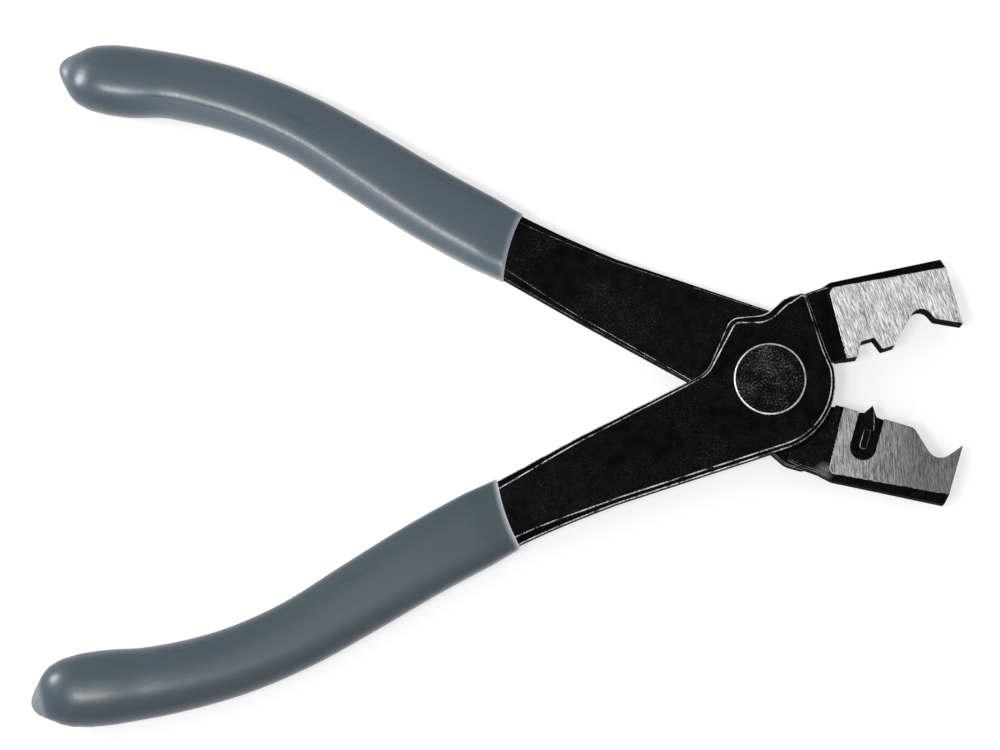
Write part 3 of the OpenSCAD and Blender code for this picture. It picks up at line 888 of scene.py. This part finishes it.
def on_bar(handle, x, slope, dip):
    """The bar's chamfered section with play added, at the same number of points as the oval."""
    t = cranked(x)
    half_w = handle.at(x)[2] + PLAY
    low, high = bar_faces(t)
    middle, half_h = (low + high) / 2, (high - low) / 2 + PLAY
    chamfer = blend(EDGE_DEPTH, BAR_CHAMFER, t)
    out = []
    for i in range(SECTION):
        a = 2 * math.pi * (i + 0.5) / SECTION
        c, s = half_w * math.cos(a), half_h * math.sin(a)
        grow = min(half_w / max(abs(c), 1e-6), half_h / max(abs(s), 1e-6),
                   (half_w + half_h - chamfer) / (abs(c) + abs(s)))
        q = c * grow
        out.append((q, middle + s * grow, slope * q + dip * (1 - (q / half_w) ** 2)))
    return out


def lip_highlight(share, rim_highlight):
    """How strong the painted highlight along the cuff's lip is, at a share of the way out from the bar."""
    return min(1.0, rim_highlight * (1.15 - abs(2 * share - 1.2))) if share > 0.1 else 0.2


def grip(name, handle, dip, material, turn):
    """A dipped sleeve: a lip at the cuff, a long skin, and a dome that ends in the drip the dip left."""
    tip_x, cuff_x = dip["tip"], dip["cuff"]
    cuff_slope = math.tan(math.radians(dip["slope"]))
    beyond_fold = [ease((-FOLD_START - p[0]) / FOLD_WIDTH) for p in oval(1, 1, FOLD_POWER, 0, 0)]

    def slope(x):
        return cuff_slope * (1 - ease((cuff_x - x) / SLOPE_FADE))

    def curve(x):
        return CUFF_DIP * (1 - ease((cuff_x - x) / DIP_FADE))

    def fold_depth(x):
        """How deep the fold is at x, from 0 past its end to 1."""
        return ease((x - dip["fold"]) / FOLD_FADE) if dip["fold"] else 0.0

    def skin(x):
        """The outer section at x."""
        half_w, half_h = handle.at(x)[3:]
        away = cuff_x - x
        t = min(1.0, max(0.0, (x - tip_x) / DOME))
        w = float(np.interp(t, *zip(*DOME_WIDTH)))
        h = float(np.interp(t, *zip(*DOME_HEIGHT)))
        thin = CUFF_THIN * (1 - ease(away / THIN_FADE))
        power = CUFF_POWER - sum(drop * ease((away - start) / over) for drop, start, over in ROUNDER)
        place, reach, depth = WAIST
        pinch = depth * math.exp(-((x - tip_x - place) / reach) ** 2)
        drip = DRIP_SHIFT * (1 - ease(t / DRIP_LENGTH))
        section = []
        round_section = oval((half_w - thin) * w, (half_h - thin) * h, power, slope(x), curve(x))
        for (a, z, along), beyond in zip(round_section, beyond_fold):
            dent = pinch * (1 - a / half_w) / 2 if a < 0 else 0
            flatter = WAIST_FLAT * pinch + FOLD_DROP * fold_depth(x) * beyond
            section.append((a + drip + dent, z * (1 - flatter), along))
        return handle.ring(x, section)

    rings, pale_and_highlight, folded = [], [], []
    for x in [*np.arange(BAR_ENDS[1] - SLEEVE_PAST, cuff_x, SLEEVE_STEP), cuff_x - SLEEVE_LAST]:
        rings.append(handle.ring(x, on_bar(handle, x, slope(x), curve(x))))
        pale_and_highlight.append(0.0)
        folded.append(0.0)
    lip_in = np.array(handle.ring(cuff_x, on_bar(handle, cuff_x, cuff_slope, CUFF_DIP)))
    lip_out = np.array(skin(cuff_x))
    side = handle.across(cuff_x)
    ahead = np.array((-side[1], side[0], 0))
    for share in LIP_SHARES:
        bulge = LIP_BULGE * math.sqrt(max(0.0, 1 - (2 * share - 1) ** 2))
        rings.append([tuple(p) for p in lip_in * (1 - share) + lip_out * share + ahead * bulge])
        # the lip gets the rim's painted highlight
        pale_and_highlight.append(lip_highlight(share, dip["rim_highlight"]))
        folded.append(fold_depth(cuff_x))
    places = [cuff_x - d for d in SKIN_STARTS]
    places += list(np.arange(places[-1] - SKIN_STEP, tip_x + DOME, -SKIN_STEP))
    places += [tip_x + DOME * (1 - math.sin(math.pi / 2 * i / DOME_STEPS)) for i in range(DOME_STEPS)]
    places.append(tip_x + TIP_FLAT)
    for x in places:
        rings.append(skin(x))
        # the drip's paler tone with painted light, fading from the tip, and the rim's painted highlight
        # reaching onto the skin
        drip_tone_and_light = dip["drip"] * (1 - ease(((x - tip_x) / DOME - DRIP_TONE_AND_LIGHT[0]) / DRIP_TONE_AND_LIGHT[1]))
        rim_highlight_on_skin = RIM_HIGHLIGHT_SHARE * dip["rim_highlight"] * math.exp(-((cuff_x - x) / RIM_HIGHLIGHT_REACH) ** 2)
        pale_and_highlight.append(max(drip_tone_and_light, rim_highlight_on_skin))
        folded.append(fold_depth(x))
    n, m = SECTION, len(rings)
    points = [p for r in rings for p in r]
    faces = [(j * n + i, j * n + (i + 1) % n, (j + 1) * n + (i + 1) % n, (j + 1) * n + i)
             for j in range(m - 1) for i in range(n)]
    faces += [tuple(range(n - 1, -1, -1)), tuple((m - 1) * n + i for i in range(n))]
    values = {"PaleAndHighlight": np.repeat(pale_and_highlight, n), "Fold": np.repeat(folded, n), "Side": beyond_fold * m}
    obj = mesh_object(name, points, faces, [0] * len(faces), [material], values)
    obj.data.polygons.foreach_set("use_smooth", [True] * len(obj.data.polygons))
    obj.data.set_sharp_from_angle(angle=math.radians(62))
    return place(obj, turn)


front_grip = grip("front_grip_skin", FRONT, GRIPS["front"], FRONT_VINYL, False)
rear_grip = grip("rear_grip_skin", REAR, GRIPS["rear"], REAR_VINYL, True)

# ---------------------------------------------------------------- pieces on the frame
for piece, body, node, slot in (
    (front_lever, "front_half", "front_lever", "front_forging"),
    (rear_lever, "rear_half", "rear_lever", "rear_forging"),
    (rivet, "front_half", "pivot_rivet", "rivet_steel"),
    (tooth_piece, "rear_half", "tooth_insert", "tooth_steel"),
    (front_grip, "front_half", "front_grip", "dipped_vinyl"),
    (rear_grip, "rear_half", "rear_grip", "dipped_vinyl"),
):
    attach(piece, body)
    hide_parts(node)

# ---------------------------------------------------------------- floor, light and camera
FLOOR_HALF = 3.0            # in metres
floor_mesh = bpy.data.meshes.new("floor")
floor_corners = [(FLOOR_HALF * x, FLOOR_HALF * y, 0) for x, y in ((-1, -1), (1, -1), (1, 1), (-1, 1))]
floor_mesh.from_pydata(floor_corners, [], [(0, 1, 2, 3)])
floor = bpy.data.objects.new("floor", floor_mesh)
bpy.context.scene.collection.objects.link(floor)
paper = Nodes("floor_paper")
paper.set(Base_Color=paper.mix(paper.noise(3), (0.48, 0.48, 0.48), (0.50, 0.50, 0.50)), Roughness=0.9,
          Emission_Color=(1, 1, 1), Emission_Strength=0.52, Specular_IOR_Level=0.1)
floor_mesh.materials.append(paper.material)

world = bpy.data.worlds.new("studio")
world.use_nodes = True
world.node_tree.nodes["Background"].inputs["Color"].default_value = (1, 1, 1, 1)
world.node_tree.nodes["Background"].inputs["Strength"].default_value = 0.84
bpy.context.scene.world = world


def softbox(name, place, aim, width, height, watts):
    """A rectangular light at a place, turned towards its aim, in metres."""
    light = bpy.data.lights.new(name, "AREA")
    light.shape = "RECTANGLE"
    light.size, light.size_y = width, height
    light.energy = watts
    obj = bpy.data.objects.new(name, light)
    bpy.context.scene.collection.objects.link(obj)
    obj.location = place
    obj.rotation_euler = (Vector(aim) - Vector(place)).to_track_quat("-Z", "Y").to_euler()
    return obj


# The key light makes the long highlight on the rear grip, and the low window the short ones at the tips.
softbox("key", (-0.28, -0.175, 0.88), (-0.09, 0.04, 0), 0.22, 0.13, 3.0)
softbox("left_window", (-0.50, 0.12, 0.22), (-0.12, 0.04, 0), 0.14, 0.15, 1.6)

TILT = math.radians(8.5)    # of the view towards -Y, from straight above
VIEW_CENTRE = Vector((-0.0483, 0.0014, LAP_Z * MM))
DISTANCE = 0.72
camera = bpy.data.cameras.new("camera")
camera.lens = 144
camera.sensor_width = 36
eye = bpy.data.objects.new("camera", camera)
bpy.context.scene.collection.objects.link(eye)
towards = Vector((0, -math.sin(TILT), math.cos(TILT)))
eye.location = VIEW_CENTRE + DISTANCE * towards
eye.rotation_euler = (TILT, 0, 0)
bpy.context.scene.camera = eye
bpy.context.scene.view_settings.view_transform = "Standard"
